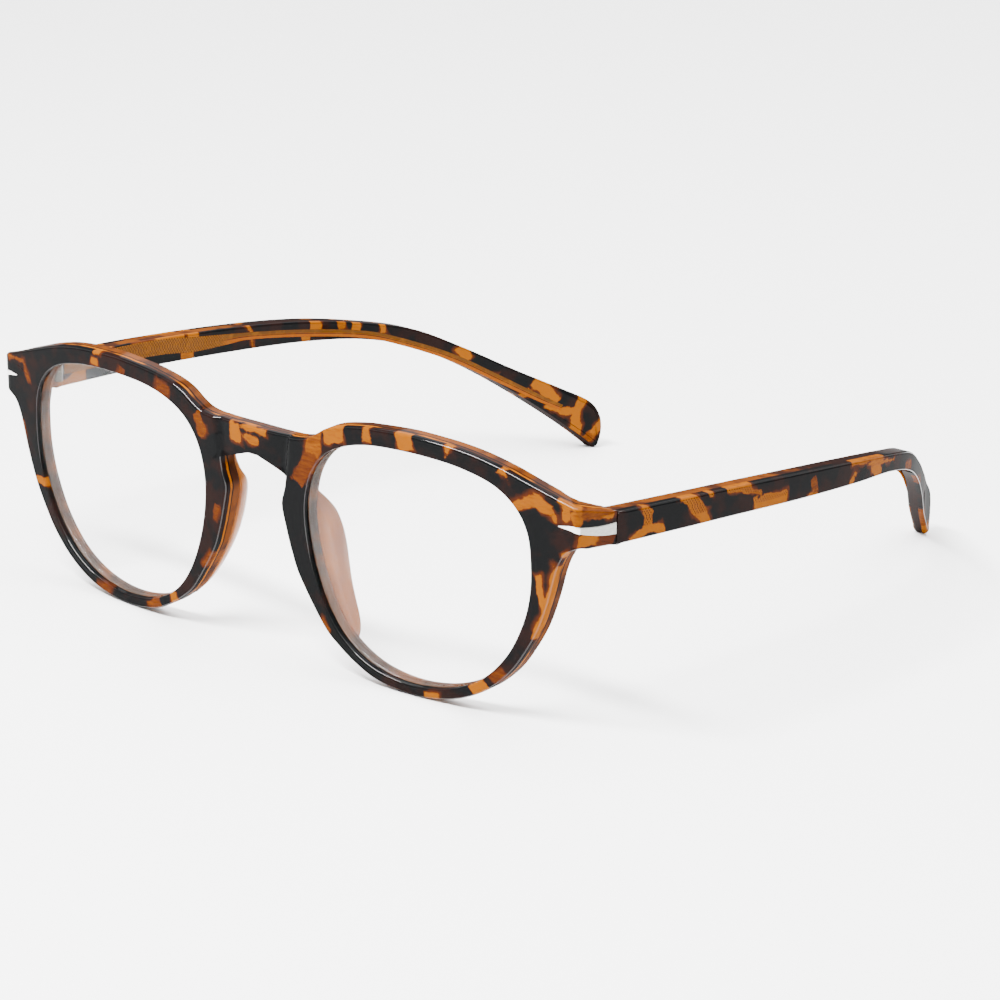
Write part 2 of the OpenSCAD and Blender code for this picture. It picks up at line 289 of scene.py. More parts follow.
FRONT_PATCHES = [
    # the wearer's left half
    (15, 17, 14.5, 13, 1.6, 0.6), (14.5, 13, 11, 7.5, 1.4, 0.3), (18, 17.4, 20.6, 17.8, 1.7, 0.9),
    (26.6, 18.1, 26.4, 20.8, 1, 0.8), (34.2, 21, 34.9, 18.6, 1.4, 1),
    (43.9, 20.4, 43.2, 18, 1.1, 1, 0.3), (54, 17.9, 55.6, 16.9, 0.9, 0.9, 0.4),
    (57.3, 11.9, 60.6, 13.6, 0.8, 0.8, 1.2), (60.6, 13.7, 63.8, 12.6, 1.2, 0.85, 1),
    (63.6, 12.7, 65, 10.6, 0.9, 0.8, 0.5), (66.8, 11, 66.7, 13.4, 0.9, 0.9),
    (65.6, 14.6, 69.6, 13.5, 1, 0.9), (61.3, 0, 62.3, -6, 0.5, 1), (65.2, 2.5, 63.4, -4, 0.7, 1),
    (63.4, -4, 60.4, -11.5, 0.6, 1), (64.7, 2.6, 64.7, 2.4, 0.5, 1), (66, 4.7, 67, 5, 0.5, 1),
    (48.4, -23.6, 50, -22.3, 1.3, 1), (38.3, -26.8, 40.6, -26.6, 0.8, 1),
    (15.6, -18.4, 16.8, -19.4, 0.8, 0.4), (52.5, -20.5, 54, -19, 0.6, 0.3),
    (69.6, 7.5, 73.2, 7, 1, 1), (70, 12, 77.6, 10.6, 0.9, 0.45), (69.2, 10.6, 69.2, 12.8, 1, 0.7),
    (75, 10.7, 77.8, 9.9, 0.5, 1), (74, 6.6, 77.2, 5.6, 0.9, 0.1), (65.3, 9.6, 65.3, 9.6, 0.3, 0.8),
    # the bridge
    (-4.2, 12, -4.2, 14, 1.5, 1), (-2.5, 14.4, 3, 14.4, 0.5, 0.9), (-1.6, 12.7, 1.2, 12.4, 0.6, 0.8),
    # the wearer's right half
    (-41.5, 18.4, -40.4, 18.4, 0.6, 1), (-41, 20.2, -39.4, 20.2, 0.6, 1),
    (-33.5, 18.2, -33, 18, 0.6, 0.25), (-21, 17, -23, 17.4, 1, 0.3),
    (-13.4, 14.2, -12, 11.5, 1.1, 0.45), (-67.5, 13, -63, 13.2, 0.4, 0.5),
    (-63, 13.2, -61.5, 9.5, 0.4, 0.4), (-60.5, -9.5, -57.5, -9.5, 0.5, 0.9),
    (-21.3, -24.8, -21.6, -22, 1, 1), (-11, -12, -12.4, -14, 0.8, 0.35), (-9, -2, -9.6, -4.6, 0.8, 0.35),
    (-28, -26, -26, -25, 0.9, 0.4), (-40, -26.4, -43, -25.8, 0.7, 0.3), (-64.5, 1, -64, -2, 0.6, 0.4),
    (-72, 10, -76, 9.4, 0.9, 0.7),
]
# The left temple's patches, in y and z
LEFT_TEMPLE_PATCHES = [
    (21.6, 38.3, 22.8, 36.5, 0.9, 0.8), (22.8, 36.5, 22.6, 34.7, 1, 0.8), (18.6, 33, 21.4, 34.2, 0.6, 1),
    (21.6, 34.3, 25.6, 34, 0.9, 1), (26, 33.6, 26.6, 32.6, 0.8, 1),
    (32.6, 38.2, 34.6, 36.3, 1.2, 0.9), (34.6, 36.3, 37, 34.3, 1.4, 0.8), (37, 34.3, 38, 32.2, 1.1, 1),
    (44.4, 37.6, 50.2, 36.8, 1.1, 0.85), (49, 36, 53.5, 34.8, 0.7, 0.7),
    (52.8, 32.6, 60.8, 32.5, 1.2, 1), (52, 34, 52.4, 32, 0.8, 1), (69.6, 33.6, 70.4, 31.6, 0.7, 0.4),
    (68, 31, 71, 31, 0.4, 0.8), (84.4, 31.9, 82.4, 29.8, 0.7, 1), (90.8, 31, 94.8, 30.2, 0.6, 1),
    (92.2, 30.2, 92.8, 29.2, 0.6, 1), (83, 34.1, 95.5, 32.3, 0.5, 0.75), (88.9, 32.5, 101, 30.4, 0.4, 0.8),
    (38.9, 37.9, 39.1, 37.2, 0.4, 0.9), (109, 27, 112, 26.6, 0.7, 0.4), (120, 21, 126, 19, 0.7, 0.3),
    (147.6, 2.2, 150.2, 0.6, 1.3, 1), (150.2, 0.6, 151.4, 4.6, 1.1, 0.9), (140.5, 8.2, 148, 2, 0.5, 0.5),
]
# The right temple's patches
RIGHT_TEMPLE_PATCHES = [
    (15, 33.2, 23.2, 34.1, 0.5, 1, 1.4), (24.7, 38.2, 31, 38, 0.5, 0.9), (37.5, 37.6, 42.6, 37.4, 0.7, 0.25),
    (43.6, 37.7, 51, 36.8, 0.8, 1), (53, 36.8, 55, 36.3, 0.8, 1), (51.3, 32.4, 53.6, 32.4, 1, 0.8),
    (69.2, 36, 71, 33.4, 0.5, 0.9), (70.6, 32.6, 71.2, 30.5, 0.4, 0.6), (88, 34, 87.8, 31.8, 1.4, 1),
    (85.4, 30.9, 85.8, 29.4, 1, 1), (94.7, 33, 94.9, 31.6, 0.8, 0.7), (98.2, 32.2, 98.4, 30.6, 1, 1),
    (104.8, 30.7, 105, 29.2, 0.7, 1), (122, 23.9, 123, 22.2, 1.1, 1), (121.8, 21.6, 122.6, 19.6, 1.1, 1),
    (128.8, 17.6, 128.4, 15.4, 0.7, 0.8), (135.8, 13.6, 133, 11.8, 0.8, 0.8),
    (137.4, 15.5, 139.6, 13.4, 1.3, 1), (139.6, 13.4, 141.4, 11.4, 0.9, 1),
    (139, 10.3, 142.4, 8.8, 0.5, 1), (142.4, 9, 145.6, 8.8, 0.9, 1), (145.4, 8.8, 147, 11.2, 0.9, 1),
    (145.6, 8.6, 145.7, 3.2, 1.1, 1), (150.9, 5.4, 149, 3.2, 0.9, 0.9), (149, 3.2, 147.2, 1.2, 1, 0.5),
]
FAR_OUTSIDE = -99.0
# How far a patch reaches past the ends of its bar, as a share of its half width
PATCH_END = 0.55
# Added to each bar, so that a bar of no length has a direction too
LEAST_RUN = 1e-6


def pattern_values(points, patches):
    """How far each point lies inside the nearest patch, in mm, and that patch's tone."""
    inside = np.full(len(points), FAR_OUTSIDE)
    tone = np.zeros(len(points))
    for x1, z1, x2, z2, radius, patch_tone, *end_radius in patches:
        run = np.array([x2 - x1, z2 - z1]) + LEAST_RUN
        size = np.linalg.norm(run)
        along = (points - (x1, z1)) @ run / size
        off = (points - (x1, z1)) @ (-run[1], run[0]) / size
        beyond = np.maximum(-along, along - size)
        last = end_radius[0] if end_radius else radius
        wide = radius + (last - radius) * np.clip(along / size, 0, 1)
        deep = np.minimum(wide - np.abs(off), PATCH_END * min(radius, last) - beyond)
        tone = np.where(deep > inside, patch_tone, tone)
        inside = np.maximum(inside, deep)
    return {"inside": inside, "tone": tone}


# --------------------
# Front frame. It is drawn flat: u runs along the outer face, round the corner of
# the end piece and back to the joint; z is up. Its depth then runs between the
# outer path and the inner path.

RIM_DEPTH = 3.8
CORNER_START = 68.2
CORNER_RADIUS = 0.85
SIDE_TURN = math.radians(86.3)
FRONT_ROUND = 0.55
LENS_ROUND = 0.3
END_ROUND = 0.08
GROOVE_FRONT = 1.15
GROOVE_BACK = 2.85
GROOVE_DEPTH = 0.85
# Where the lens opening's straight walls begin and end, behind the outer face
LENS_WALL_START = 0.7
LENS_WALL_END = 3.2


def wrap(x):
    """How far the front's gentle curve has gone back at x."""
    return x * x / (2 * FACE_RADIUS)


START_TURN = math.atan(CORNER_START / FACE_RADIUS)
CORNER_ARC = CORNER_RADIUS * (SIDE_TURN - START_TURN)
ARC_END = (
    CORNER_START + CORNER_RADIUS * (math.sin(SIDE_TURN) - math.sin(START_TURN)),
    wrap(CORNER_START) + CORNER_RADIUS * (math.cos(START_TURN) - math.cos(SIDE_TURN)),
)


def u_at_side(y):
    """Where the unrolled face reaches the depth y on the side of the end piece."""
    return CORNER_START + CORNER_ARC + (y - ARC_END[1]) / math.sin(SIDE_TURN)


def joint_u(z):
    """Where the unrolled face ends at the joint with the temple."""
    return u_at_side((JOINT_Y + z * math.sin(LEAN)) / math.cos(LEAN))


def outer_path(u):
    """x and y of the outer face."""
    turn = START_TURN + np.clip(u - CORNER_START, 0, CORNER_ARC) / CORNER_RADIUS
    run = np.maximum(u - CORNER_START - CORNER_ARC, 0)
    x = (np.minimum(u, CORNER_START) + run * math.cos(SIDE_TURN)
         + CORNER_RADIUS * (np.sin(turn) - math.sin(START_TURN)))
    y = (wrap(np.minimum(u, CORNER_START)) + run * math.sin(SIDE_TURN)
         + CORNER_RADIUS * (math.cos(START_TURN) - np.cos(turn)))
    return x, y


# The inner face in x and y: behind the rim, round a corner and along the end piece's side
INNER_START, BEND_START = 56, 63.4
INNER_CORNER = (65.15, wrap(65) + RIM_DEPTH + 0.05)
INNER_WALL = [(65.3, 10.9), (65.42, 12.4), (65.56, 14.2), (65.72, 16.6), (65.78, 17.4)]


def inner_line():
    """The inner face from behind the rim round to the joint, as a rounded corner."""
    back = [(x, wrap(x) + RIM_DEPTH) for x in np.linspace(INNER_START, BEND_START, 12)]
    a, b = np.array(back[-1]), np.array(INNER_WALL[0])
    bend = [tuple((1 - t) ** 2 * a + 2 * t * (1 - t) * np.array(INNER_CORNER) + t * t * b)
            for t in np.linspace(0.1, 0.9, 9)]
    return np.array(back + bend + INNER_WALL)


INNER_LINE = inner_line()
INNER_LENGTHS = lengths(INNER_LINE)
# Four places of the outer face, and how far along the inner line each one's partner lies
WALL_PARTNER = INNER_WALL[3]
INNER_U = [INNER_START, 64.2, 70.4, u_at_side(WALL_PARTNER[1])]
INNER_S = [0, 7.55, 10.4, INNER_LENGTHS[nearest(INNER_LINE, WALL_PARTNER)]]
# Where the inner face starts to turn the corner, and where it has turned it
TURN_HEIGHTS = (4.2, 7.2)
TURN_PLACES = (66, 69.5)


def smooth_step(x, low, high):
    """A soft rise from 0 at low to 1 at high."""
    t = np.clip((x - low) / (high - low), 0, 1)
    return t * t * (3 - 2 * t)


def inner_path(u, z):
    """x and y of the inner face, which turns the corner only at the end piece's height."""
    s = np.interp(u, INNER_U, INNER_S)
    s = s + np.maximum(u - INNER_U[-1], 0)
    p = at_length(INNER_LINE, s, INNER_LENGTHS)
    turned = np.maximum(smooth_step(z, *TURN_HEIGHTS), smooth_step(u, *TURN_PLACES))
    turned = np.where(u < INNER_U[0], 0, turned)
    x = u + (p[:, 0] - u) * turned
    straight = wrap(u) + RIM_DEPTH
    y = straight + (p[:, 1] - straight) * turned
    return x, y


# The crease between the bridge and a rim: its u at one height, and its slope
CREASE_U, CREASE_Z, CREASE_SLOPE = 7.9, 8.3, 0.12
RECESS_MIDDLE, RECESS_GROWTH = 0.25, 0.5
RECESS_WIDTH = 8
RECESS_HEIGHTS = (6.6, 9.4)


def bridge_recess(u, z):
    """How far the bridge's own face lies behind the faces of the rims."""
    crease = CREASE_U + CREASE_SLOPE * (z - CREASE_Z)
    inside = 1 - smooth_step(np.abs(u), crease - 0.5, crease + 0.4)
    deep = RECESS_MIDDLE + RECESS_GROWTH * (u / RECESS_WIDTH) ** 2
    return inside * deep * smooth_step(z, *RECESS_HEIGHTS)


def place_front(u, z, depth):
    """Points of the half with positive u, at a depth in mm behind the outer face."""
    share = depth / RIM_DEPTH
    xo, yo = outer_path(u)
    xi, yi = inner_path(u, z)
    dip = bridge_recess(u, z) * np.clip(1 - share, 0, 1)
    x = xo + (xi - xo) * share
    y = yo + (yi - yo) * share + dip
    return np.stack([x, y, z], 1)


# The end piece from its side: the ends at the joint, and the edges that lead there
END_LOW, END_HIGH = [(joint_u(z), z) for z in (4.5, 10.5)]
END_UNDER = [(71.2, 5.5), (73, 5.25)]
END_OVER = (73, 12.2)


def front_outline():
    """The lower edge out to the joint, and the upper edge back from it."""
    low_edge = spline(RIM_EDGE + END_UNDER + [END_LOW], closed=False)
    high_edge = spline([END_HIGH, END_OVER] + BROW_EDGE, closed=False)
    return low_edge, high_edge


# Distance between stations along the edge, rows across a face and rows down a wall
STATION = 0.5
FILL = 20
WALL = 6
# Points on the middle line, where the two halves meet
MIDDLE_POINTS = 11

# Which point of the lens edge faces each point of the outer edge
FACING = [
    ((0, BRIDGE_UNDER), (12.6, 6.0)), ((7.5, 5.5), (12.2, 3.8)), ((7.2, -1.2), (12.25, -1.5)),
    ((15.7, -18.9), (17.2, -16.7)), ((34, -27.5), (34, -25.5)), ((51.2, -22.7), (50, -20.9)),
    ((61.3, -9.5), (58, -9.6)), ((66.4, 4.6), (59.85, 1.6)), (END_UNDER[-1], (59.75, 3.2)),
    (END_LOW, (59.6, 4.6)), (END_HIGH, (59.2, 7.0)), (END_OVER, (58.8, 8.4)),
    ((65, 14.6), (57.6, 10.7)), ((50, 19.1), (50, 15.6)), ((35, 20.5), (35, 17.35)),
    ((17, 17.9), (18.5, 14.3)), ((8, BRIDGE_TOP), (14.6, 10.6)), ((0, BRIDGE_TOP), (14.1, 9.8)),
]


def front_stations():
    """Matching points on the outer loop (with the middle line) and on the lens edge."""
    outer = np.vstack(front_outline())
    heights = np.linspace(BRIDGE_TOP, BRIDGE_UNDER, MIDDLE_POINTS + 2)[1:-1]
    middle = np.stack([np.zeros(MIDDLE_POINTS), heights], 1)
    loop = np.vstack([outer, middle, outer[:1]])
    loop_at = lengths(loop)
    ring = spline(LENS_EDGE, closed=True, steps=24)
    start = nearest(ring, FACING[0][1])
    ring = np.roll(ring, -start, 0)
    ring = np.vstack([ring, ring[:1]])
    ring_at = lengths(ring)
    outer_s = [loop_at[nearest(outer, o)] for o, _ in FACING] + [loop_at[-1]]
    ring_s = [ring_at[nearest(ring[:-1], q)] for _, q in FACING] + [ring_at[-1]]
    s_out, s_in, is_middle = [], [], []
    for k in range(len(outer_s) - 1):
        span = outer_s[k + 1] - outer_s[k]
        n = max(2, round(span / STATION))
        t = np.arange(n) / n
        s_out += list(outer_s[k] + t * span)
        s_in += list(ring_s[k] + t * (ring_s[k + 1] - ring_s[k]))
        is_middle += [k == len(outer_s) - 2] * n
    is_middle = np.array(is_middle)
    is_middle[np.flatnonzero(is_middle)[0]] = False
    a = at_length(loop, np.array(s_out), loop_at)
    b = at_length(ring, np.array(s_in), ring_at)
    return a, b, is_middle


# The neck is a line across the end piece at its corner. The rows of the end piece's own
# stations, which start beyond it, pass it at a share of their way to the lens.
NECK_U = 68.6
NECK_LOW, NECK_HIGH = 6.35, 13.15
NECK_SHARE = 0.5
LUG_START = NECK_U + 0.4
# The rounding fades out over this stretch before the joint
FRONT_FADE = (0.1, 1.2)


def through_neck(rim, inner, t):
    """Points a share t along the way from the end piece's rim to the lens, by its neck."""
    s = lengths(rim)
    s /= s[-1]
    neck = np.stack([np.full(len(s), NECK_U), NECK_LOW + (NECK_HIGH - NECK_LOW) * s], 1)
    if t < NECK_SHARE:
        return rim + (neck - rim) * t / NECK_SHARE
    return neck + (inner - neck) * (t - NECK_SHARE) / (1 - NECK_SHARE)


def front_half():
    """Positions (u, z, depth) and the faces of the half with positive u."""
    outer, ring, middle = front_stations()
    edge = ~middle
    last = int(np.flatnonzero(edge)[-1])
    normals = side_normals(outer, closed=False)
    normals[0], normals[last] = (0, 1), (0, -1)
    ring_normals = -side_normals(ring, closed=True)
    lens_round = np.full(len(ring), LENS_ROUND)
    lug = np.flatnonzero(edge & (outer[:, 0] > LUG_START))
    to_joint = joint_u(outer[:, 1]) - outer[:, 0]
    radius = END_ROUND + (FRONT_ROUND - END_ROUND) * smooth_step(to_joint, *FRONT_FADE)
    points = []

    def rows(thick=None):
        """All rows of one face, from the outer edge to the lens edge."""
        out = edge_rows(points, outer, normals, radius, EDGE_PROFILE, thick)
        for row in out:
            row[middle] = -1
        rim = outer + normals * radius[:, None]
        rim[middle] = outer[middle]
        rim[middle, 1] = np.interp(outer[middle, 1], [BRIDGE_UNDER, BRIDGE_TOP],
                                   [BRIDGE_UNDER + FRONT_ROUND, BRIDGE_TOP - FRONT_ROUND])
        flat = thick or 0.0
        out[-1] = np.where(middle, add_row(points, rim, flat), out[-1])
        inner = ring + ring_normals * LENS_ROUND
        for k in range(1, FILL):
            line = rim + (inner - rim) * k / FILL
            line[lug] = through_neck(rim[lug], inner[lug], k / FILL)
            out.append(add_row(points, line, flat))
        out += edge_rows(points, ring, ring_normals, lens_round, EDGE_PROFILE[::-1], thick)
        return np.array(out)

    front, back = rows(), rows(RIM_DEPTH)
    wall = [front[0]]
    for k in range(1, WALL):
        row = add_row(points, outer, radius + (RIM_DEPTH - 2 * radius) * k / WALL)
        row[middle] = -1
        wall.append(row)
    wall.append(back[0])
    lens_wall = [front[-1]]
    grooved = ring + ring_normals * GROOVE_DEPTH
    steps = [
        (ring, LENS_WALL_START), (ring, GROOVE_FRONT), (grooved, GROOVE_FRONT),
        (grooved, GROOVE_BACK), (ring, GROOVE_BACK), (ring, LENS_WALL_END),
    ]
    for line, depth in steps:
        lens_wall.append(add_row(points, line, depth))
    lens_wall.append(back[-1])
    faces = []
    for grid, flip in ((front, False), (back, True), (np.array(lens_wall), False)):
        faces += ring_faces(grid, flip)
    faces += grid_faces(np.array(wall)[:, :last + 1], flip=True)
    points = np.array(points)
    points[:, 0] = np.maximum(points[:, 0], 0)
    return points, faces


def front_piece():
    """Both halves as one mesh."""
    half, faces = front_half()
    n = len(half)
    flat = np.vstack([half, half * np.array([-1, 1, 1])])
    faces = faces + [tuple(v + n for v in reversed(f)) for f in faces]
    flat, faces = drop_unused(flat, faces)
    first, faces = welded(flat, faces)
    flat = flat[first]
    placed = place_front(np.abs(flat[:, 0]), flat[:, 1], flat[:, 2])
    placed[:, 0] *= np.where(flat[:, 0] < 0, -1, 1)
    values = {"depth": flat[:, 2]} | pattern_values(flat[:, :2], FRONT_PATCHES)
    piece = make_piece("front_acetate", front_to_row(placed), faces, "front",
                       values)
    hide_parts("front_frame")
    return piece


# --------------------
# Temples

TEMPLE_START = 15.15
TEMPLE_THICK, TIP_THICK = 4, 3.7
THINNING_START = 15.1
TIP_Y = PADDLE_END[2][0]
TEMPLE_ROUND = 0.45
TIP_ROUND = 1.1
# The rounding fades out before the joint, and grows over the last part of the paddle
TEMPLE_FADE = (0.1, 1.5)
TIP_FADE = (2, 14)
SWEEP = spline(TEMPLE_SWEEP, closed=False)
TEMPLE_STATION = 0.7
TEMPLE_FILL = 12
# Steps along the short edge at the joint
CUT_STEPS = 8
# Above 1, the stations get closer together towards the tip
TIP_CROWDING = 1.15
# The whole temple lies this far inwards, so that it stays within the CAD's width
SKIN = 0.01


def temple_thickness(y):
    thinned = (TIP_THICK - TEMPLE_THICK) * np.maximum(y - THINNING_START, 0) / TIP_Y
    return TEMPLE_THICK + thinned


def temple_x(y, depth):
    """x of the left temple at a depth in mm below its outer face."""
    return np.interp(y, SWEEP[:, 0], SWEEP[:, 1]) - depth - SKIN


def temple_outline():
    """Upper and lower edge with matching points, from the joint to the paddle's end."""
    whole = spline(TEMPLE_UPPER + PADDLE_END + TEMPLE_LOWER, closed=False)
    back = nearest(whole, PADDLE_END[2])
    upper, lower = whole[:back + 1], whole[back:][::-1]
    upper = upper[upper[:, 0] >= TEMPLE_START]
    lower = lower[lower[:, 0] >= TEMPLE_START]
    upper = np.vstack([[TEMPLE_START, upper[0, 1]], upper])
    lower = np.vstack([[TEMPLE_START, lower[0, 1]], lower])
    return upper, lower


def temple_loop():
    """The outline with its normals and radius, and how many points lie on its two parts."""
    upper, lower = temple_outline()
    n = round(lengths(upper)[-1] / TEMPLE_STATION)
    t = np.arange(n + 1) / n
    t = 1 - (1 - t) ** TIP_CROWDING
    a = at_length(upper, t * lengths(upper)[-1])
    b = at_length(lower, t * lengths(lower)[-1])
    cut = [a[0] + (b[0] - a[0]) * k / CUT_STEPS for k in range(1, CUT_STEPS)]
    loop = np.vstack([a[::-1], cut, b[:-1]])
    normals = side_normals(loop, closed=True)
    to_joint = loop[:, 0] - TEMPLE_START
    to_tip = TIP_Y - loop[:, 0]
    radius = TEMPLE_ROUND + (TIP_ROUND - TEMPLE_ROUND) * (1 - smooth_step(to_tip, *TIP_FADE))
    radius = END_ROUND + (radius - END_ROUND) * smooth_step(to_joint, *TEMPLE_FADE)
    return loop, normals, radius, len(a), len(cut)


def temple_solid():
    """Positions (y, z, depth) and the faces of the left temple."""
    loop, normals, radius, n_upper, n_cut = temple_loop()
    thick = temple_thickness(loop[:, 0])
    points = []

    def face(back):
        """The rows over the edge, the rungs across the face, and the short edge's points."""
        rows = edge_rows(points, loop, normals, radius, EDGE_PROFILE, thick if back else None)
        rim = loop + normals * radius[:, None]
        top = rim[:n_upper][::-1]
        low = np.vstack([rim[n_upper + n_cut:], rim[:1]])
        rungs = [rows[-1][:n_upper][::-1]]
        for k in range(1, TEMPLE_FILL):
            line = top + (low - top) * k / TEMPLE_FILL
            rungs.append(add_row(points, line, temple_thickness(line[:, 0]) if back else 0.0))
        rungs.append(np.concatenate([rows[-1][n_upper + n_cut:], rows[-1][:1]]))
        return np.array(rows), np.array(rungs), rows[-1][n_upper - 1:n_upper + n_cut + 1]

    fronts, front_rungs, front_cut = face(False)
    backs, back_rungs, back_cut = face(True)
    wall = [fronts[0]]
    for k in range(1, WALL):
        wall.append(add_row(points, loop, radius + (thick - 2 * radius) * k / WALL))
    wall.append(backs[0])
    faces = []
    for rows, flip in ((fronts, False), (np.array(wall), True), (backs, True)):
        faces += ring_faces(rows, flip)
    for rungs, cut, flip in ((front_rungs, front_cut, False), (back_rungs, back_cut, True)):
        faces += grid_faces(rungs, flip)
        # the ends of the rungs are joined to the short edge at the joint
        fan = [int(v) for v in cut[1:-1]] + [int(v) for v in reversed(rungs[:, 0])]
        faces.append(tuple(fan if flip else reversed(fan)))
    return drop_unused(np.array(points), faces)


def temple_piece(side):
    flat, faces = temple_solid()
    x = temple_x(flat[:, 0], flat[:, 2])
    placed = np.stack([x, flat[:, 0], flat[:, 1]], 1)
    if side < 0:
        placed[:, 0] *= -1
        faces = [tuple(reversed(f)) for f in faces]
    name = SIDE_NAMES[side]
    patches = LEFT_TEMPLE_PATCHES if side > 0 else RIGHT_TEMPLE_PATCHES
    along, across = core_place(flat[:, :2])
    values = {"depth": flat[:, 2] / temple_thickness(flat[:, 0]), "along": along,
              "across": across} | pattern_values(flat[:, :2], patches)
    piece = make_piece(f"temple_acetate_{name}", table_to_row(placed), faces,
                       f"{name}_temple", values)
    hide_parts(f"temple_{name}")
    return piece


# --------------------
# Core of each temple: a patterned plate that tapers to a wire, in the inner face

# y, z and width
CORE_LINE = [
    (17.2, 36.8, 3), (43.5, 35.6, 3.1), (54, 34.4, 3), (63, 33.8, 2.2), (70, 33.4, 1.5),
    (85, 31.6, 1.5), (100, 29.3, 1.5), (109, 26.7, 1.5), (120, 22.3, 1.5), (130, 16.7, 1.5),
    (138, 12, 1.4), (142.4, 9.7, 1.2),
]
CORE_PATH = spline(CORE_LINE, closed=False)
# Only every so many points of the path are compared
CORE_SKIP = 3
CORE_STATIONS = 260
# The ridge in the middle and the rolled edges, as half widths across and height in mm
CORE_PROFILE = [
    (-1, -0.3), (-1, 0.01), (-0.9, 0.035), (-0.78, 0.02), (-0.2, 0.02), (-0.12, 0.045),
    (0, 0.055), (0.12, 0.045), (0.2, 0.02), (0.78, 0.02), (0.9, 0.035), (1, 0.01), (1, -0.3),
]


def directions(line):
    """The line's direction at each of its points, in the side view."""
    run = np.gradient(line[:, :2], axis=0)
    return run / np.linalg.norm(run, axis=1)[:, None]


def core_place(points):
    """Where each point of the side view lies along the core, and across it in half widths."""
    at = lengths(CORE_PATH[:, :2])
    gaps = ((points[:, None, :] - CORE_PATH[None, ::CORE_SKIP, :2]) ** 2).sum(2)
    k = gaps.argmin(1) * CORE_SKIP
    run = directions(CORE_PATH)
    away = points - CORE_PATH[k, :2]
    along = at[k] + (away * run[k]).sum(1)
    off = away[:, 1] * run[k, 0] - away[:, 0] * run[k, 1]
    beyond = np.maximum(-along, 0) + np.maximum(along - at[-1], 0)
    return along, np.hypot(off / (CORE_PATH[k, 2] / 2), beyond * 2) * np.sign(off)


def core_piece(side):
    at = lengths(CORE_PATH[:, :2])
    stations = np.linspace(0, at[-1], CORE_STATIONS)
    line = at_length(CORE_PATH, stations, at)
    run = directions(line)
    up = np.stack([-run[:, 1], run[:, 0]], 1)
    rows = []
    for t, height in CORE_PROFILE:
        yz = line[:, :2] + up * (line[:, 2] / 2 * t)[:, None]
        x = temple_x(yz[:, 0], temple_thickness(yz[:, 0]) + height)
        rows.append(np.stack([x, yz[:, 0], yz[:, 1]], 1))
    points, faces = tube(rows, flip=side < 0)
    points[:, 0] *= side
    name = SIDE_NAMES[side]
    values = {"along": np.tile(stations, len(rows)),
              "across": np.repeat([t for t, _ in CORE_PROFILE], CORE_STATIONS)}
    piece = make_piece(f"core_{name}", table_to_row(points), faces, f"{name}_temple",
                       values)
    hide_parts(f"core_wire_{name}")
    return piece


# --------------------
# Nose pads

# Sections of the left pad: z, x of the side towards the nose, width, and the rear y
PAD_SECTIONS = [
    (8.4, 7.9, 0.4, 3.7), (7.6, 7.7, 1.2, 4.1), (6, 7.6, 2.6, 4.7), (4, 7.2, 4.2, 5.7),
    (2, 6.75, 5.8, 7.3), (0, 7.05, 6.7, 8.3), (-3, 7.85, 6.9, 8.8), (-6, 8.75, 6.7, 8.8),
    (-9, 9.85, 6.2, 8.5), (-12, 11.3, 5.5, 8.0), (-15, 13.1, 4.7, 7.5), (-18, 15.2, 3.8, 6.9),
    (-20, 16.9, 2.9, 6.0), (-21.4, 18.4, 1.6, 4.9), (-22, 19, 0.5, 3.9),
]
PAD_BASE = 3.5
PAD_AROUND = 33
PAD_LEAN = 0.12
# Powers below 1 make a section squarer than an ellipse, across and backwards
PAD_POWER_ACROSS, PAD_POWER_BACK = 0.85, 0.6


def pad_piece(side):
    around = np.linspace(0, math.pi, PAD_AROUND)
    back, across = np.sin(around), np.cos(around)
    across = np.sign(across) * np.abs(across) ** PAD_POWER_ACROSS
    rings = []
    for z, low_x, width, rear in spline(PAD_SECTIONS, closed=False, steps=5):
        deep = rear - PAD_BASE
        x = low_x + width / 2 * (1 - across) + PAD_LEAN * deep * back
        y = PAD_BASE + deep * back ** PAD_POWER_BACK + wrap(low_x)
        rings.append(np.stack([x, y, np.full(len(x), z)], 1))
    points = np.vstack(rings)
    ids = np.arange(len(points)).reshape(len(rings), PAD_AROUND)
    faces = ring_faces(ids, flip=side < 0) + caps(ids[0], ids[-1], flip=side < 0)
    points[:, 0] *= side
    name = SIDE_NAMES[side]
    piece = make_piece(f"pad_{name}", front_to_row(points), faces, "front",
                       {"depth": points[:, 1]})
    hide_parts(f"nose_pad_{name}")
    return piece


# --------------------
# Lenses: a thin meniscus whose edge sits in the groove

LENS_FRONT = 1.25
LENS_BACK = 2.75
LENS_IN_GROOVE = 0.75
LENS_BEVEL = 0.05
# Inside the opening, how far the darker look of the edge reaches, and where clear glass starts
EDGE_LOOK, CLEAR_START = 0.16, 0.2
LENS_MIDDLE = (36, -3)
LENS_ROWS = 16


